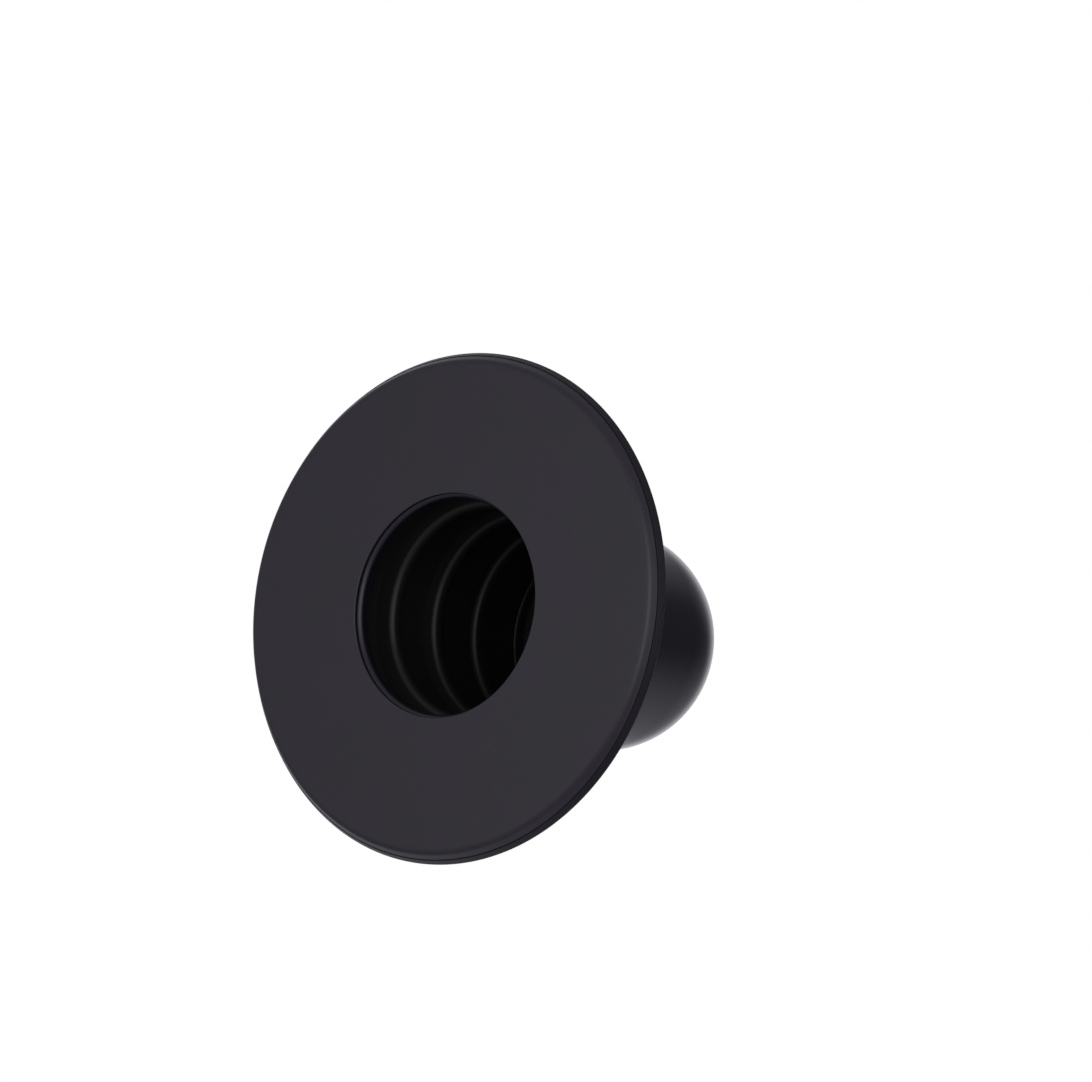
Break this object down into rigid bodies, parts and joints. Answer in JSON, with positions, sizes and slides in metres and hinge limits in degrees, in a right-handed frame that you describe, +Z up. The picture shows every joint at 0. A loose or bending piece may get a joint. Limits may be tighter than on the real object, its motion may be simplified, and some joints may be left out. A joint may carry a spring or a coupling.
{
  "type": "sink plunger",
  "caption": "Hand plunger for sinks: wide flat sealing flange, hollow bellows body that compresses, and a smooth ball-topped palm grip.",
  "frame": {"origin": "centre of the sealing face, at the bottom of the plunger, which is the bottom centre of its box", "axes": "+Z runs up the plunger's axis from the sealing face to the top of the ball; X and Y lie in the sealing face and are alike, because the plunger is round"},
  "size_m": [0.15, 0.15, 0.1143],
  "materials": {
    "pad_rubber": "matte, soft touch",
    "flange_plastic": "fine matte moulded",
    "ring_plastic": "satin moulded",
    "bellows_rubber": "satin moulded rubber",
    "grip_plastic": "satin, slightly polished by hands",
    "cup_plastic": "matte moulded",
    "seal_rubber": "greased",
    "screw_steel": "stainless, turned",
    "insert_brass": "knurled"
  },
  "bodies": {
    "base": {"sealing_pad": "pad_rubber", "flange_plate": "flange_plastic", "bellows_ring": "ring_plastic", "bellows": "bellows_rubber"},
    "grip": {"grip_dome": "grip_plastic", "clamp_cup": "cup_plastic", "cup_seal": "seal_rubber", "cup_screw": "screw_steel", "screw_washer": "screw_steel", "threaded_insert": "insert_brass"}
  },
  "joints": [
    {"name": "grip_press", "type": "slide", "parent": "base", "child": "grip", "axis": [0, 0, 1], "range_m": [-0.018, 0.004], "stiffness_N_per_m": 1200, "deforming": ["bellows"]}
  ]
}
